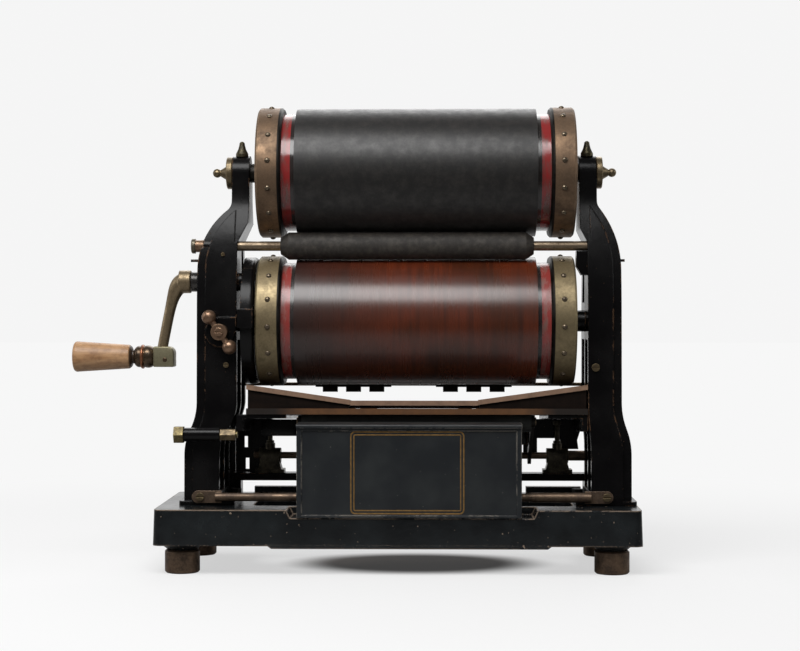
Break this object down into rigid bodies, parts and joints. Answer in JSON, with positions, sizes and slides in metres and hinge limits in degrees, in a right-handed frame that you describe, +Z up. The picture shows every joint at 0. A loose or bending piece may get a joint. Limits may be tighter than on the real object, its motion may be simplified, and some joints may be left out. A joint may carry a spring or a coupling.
{
  "type": "mimeograph",
  "caption": "Hand-cranked rotary stencil duplicator: two drums, inking roller, paper table and lidded front box.",
  "frame": {"origin": "centre of the bounding box in plan, on the floor under the feet", "axes": "+X along the drums away from the crank, +Y to the rear, +Z up; the box is at the front, -Y"},
  "size_m": [0.5752, 0.2142, 0.471],
  "materials": {
    "black_enamel": "gloss black japan, chipped at the edges",
    "box_black": "black enamelled tin with a gold line",
    "drum_red": "glossy mahogany red, ink streaked",
    "band_red": "worn red enamel",
    "drum_cover": "black rubbered cloth, mottled",
    "worn_brass": "worn, greenish yellow",
    "brown_bronze": "dark brown patina",
    "bright_brass": "polished, tarnished",
    "steel": "worn, brown in places",
    "rusty_steel": "brown, lightly rusted",
    "grey_iron": "oiled",
    "roller_rubber": "matt",
    "table_wood": "dark stained, worn to light brown at the edges",
    "grip_wood": "light turned wood"
  },
  "bodies": {
    "frame": {"base_casting": "black_enamel", "feet": "rusty_steel", "left_side_frame": "black_enamel", "right_side_frame": "black_enamel", "frame_bolts": "steel", "gear_guard": "black_enamel", "front_tie_rod": "rusty_steel", "slotted_screws": "steel", "cross_bar": "black_enamel", "left_pedestal": "grey_iron", "right_pedestal": "grey_iron", "crank_bush": "bright_brass", "box_casing": "box_black", "box_hinge_pin": "steel", "front_lower_board": "table_wood", "rear_lower_board": "table_wood", "front_centre_board": "table_wood", "rear_centre_board": "table_wood", "left_wing_board": "table_wood", "right_wing_board": "table_wood", "table_packings": "table_wood", "left_board_bearer": "black_enamel", "right_board_bearer": "black_enamel", "stripper_rod": "steel", "stripper_combs": "grey_iron", "axle_caps": "bright_brass", "oil_caps": "bright_brass", "lug_bolt": "bright_brass", "lug_nut": "black_enamel"},
    "lower_drum_assembly": {"lower_drum": "drum_red", "lower_drum_bands": "band_red", "lower_left_wheel": "worn_brass", "lower_right_wheel": "worn_brass", "lower_drum_studs": "steel", "lower_axle": "steel", "drum_gear": "grey_iron"},
    "upper_drum_assembly": {"upper_drum": "drum_cover", "upper_drum_bands": "band_red", "upper_left_wheel": "brown_bronze", "upper_right_wheel": "brown_bronze", "upper_drum_studs": "steel", "upper_axle": "steel"},
    "inking_roller_assembly": {"inking_roller": "roller_rubber", "inking_roller_shaft": "steel", "inking_roller_knob": "bright_brass"},
    "rocker": {"rocker_shaft": "steel", "left_rocker_arm": "grey_iron", "right_rocker_arm": "grey_iron"},
    "impression_roller_assembly": {"impression_roller": "roller_rubber", "impression_core": "steel"},
    "crank": {"crank_shaft": "steel", "crank_pinion": "grey_iron", "crank_arm": "brown_bronze", "grip_spindle": "steel"},
    "grip": {"grip_ferrule": "bright_brass", "wooden_grip": "grip_wood"},
    "cover": {"box_cover": "box_black"},
    "lever": {"ball_lever": "brown_bronze"},
    "left_adjuster": {"left_adjusting_screw": "steel"},
    "right_adjuster": {"right_adjusting_screw": "steel"}
  },
  "joints": [
    {"name": "lower_drum_spin", "type": "hinge", "parent": "frame", "child": "lower_drum_assembly", "pos_m": [0.06385, -0.01354, 0.2505], "axis": [1, 0, 0], "continuous": true},
    {"name": "upper_drum_spin", "type": "hinge", "parent": "frame", "child": "upper_drum_assembly", "pos_m": [0.06385, -0.01354, 0.4032], "axis": [1, 0, 0], "continuous": true},
    {"name": "inking_roller_spin", "type": "hinge", "parent": "frame", "child": "inking_roller_assembly", "pos_m": [0.06385, -0.03726, 0.32685], "axis": [1, 0, 0], "continuous": true},
    {"name": "crank_turn", "type": "hinge", "parent": "frame", "child": "crank", "pos_m": [-0.15835, -0.03441, 0.2905], "axis": [1, 0, 0], "continuous": true},
    {"name": "grip_spin", "type": "hinge", "parent": "crank", "child": "grip", "pos_m": [-0.22525, -0.03441, 0.2139], "axis": [1, 0, 0], "continuous": true},
    {"name": "rocker_lift", "type": "hinge", "parent": "frame", "child": "rocker", "pos_m": [0.06385, 0.04646, 0.1067], "axis": [-1, 0, 0], "range_deg": [0, 23.75]},
    {"name": "impression_spin", "type": "hinge", "parent": "rocker", "child": "impression_roller_assembly", "pos_m": [0.06385, -0.02734, 0.1478], "axis": [1, 0, 0], "continuous": true},
    {"name": "cover_hinge", "type": "hinge", "parent": "frame", "child": "cover", "pos_m": [0.05755, -0.06684, 0.1468], "axis": [-1, 0, 0], "range_deg": [0, 95]},
    {"name": "ball_lever_turn", "type": "hinge", "parent": "frame", "child": "lever", "pos_m": [-0.13395, -0.05576, 0.2393], "axis": [0, 1, 0], "range_deg": [-12, 60]},
    {"name": "left_adjuster_turn", "type": "hinge", "parent": "frame", "child": "left_adjuster", "pos_m": [-0.09315, 0.04646, 0.1454], "axis": [0, 0, 1], "range_deg": [-360, 360]},
    {"name": "right_adjuster_turn", "type": "hinge", "parent": "frame", "child": "right_adjuster", "pos_m": [0.21305, 0.04646, 0.1454], "axis": [0, 0, 1], "range_deg": [-360, 360]}
  ],
  "couplings": [
    {"joint": "upper_drum_spin", "follows": "lower_drum_spin", "ratio": 1},
    {"joint": "inking_roller_spin", "follows": "lower_drum_spin", "ratio": -4.6857},
    {"joint": "crank_turn", "follows": "lower_drum_spin", "ratio": -3}
  ]
}
